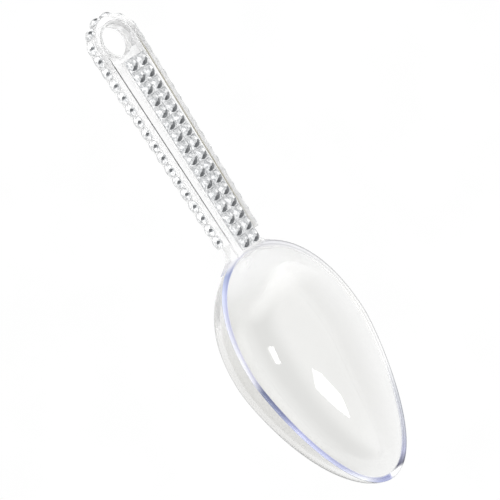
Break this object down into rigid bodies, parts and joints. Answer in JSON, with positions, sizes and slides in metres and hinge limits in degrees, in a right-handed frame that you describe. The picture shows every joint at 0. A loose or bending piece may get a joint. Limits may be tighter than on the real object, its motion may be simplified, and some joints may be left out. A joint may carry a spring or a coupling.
{
  "type": "ice scoop",
  "caption": "Clear plastic serving scoop for ice or sweets: egg-shaped bowl, flat tapered handle with a hang hole, edge band and rows of faceted stones.",
  "frame": {"origin": "centre of the hang hole, half way through the handle", "axes": "+X along the handle towards the bowl lip, +Z out of the open side of the bowl, +Y to the left when looking from the hang hole to the lip with the bowl open upwards"},
  "size_m": [0.1719, 0.0524, 0.0305],
  "materials": {
    "clear_body": "clear, polished, faintly blue at the edges",
    "clear_trim": "clear, polished",
    "stones": "clear, cut facets"
  },
  "bodies": {
    "root": {"scoop_body": "clear_body", "edge_band": "clear_trim", "stone_bed": "clear_trim", "front_stones_left": "stones", "front_stones_right": "stones", "edge_stones_left": "stones", "edge_stones_right": "stones", "edge_stones_end": "stones"}
  },
  "joints": []
}
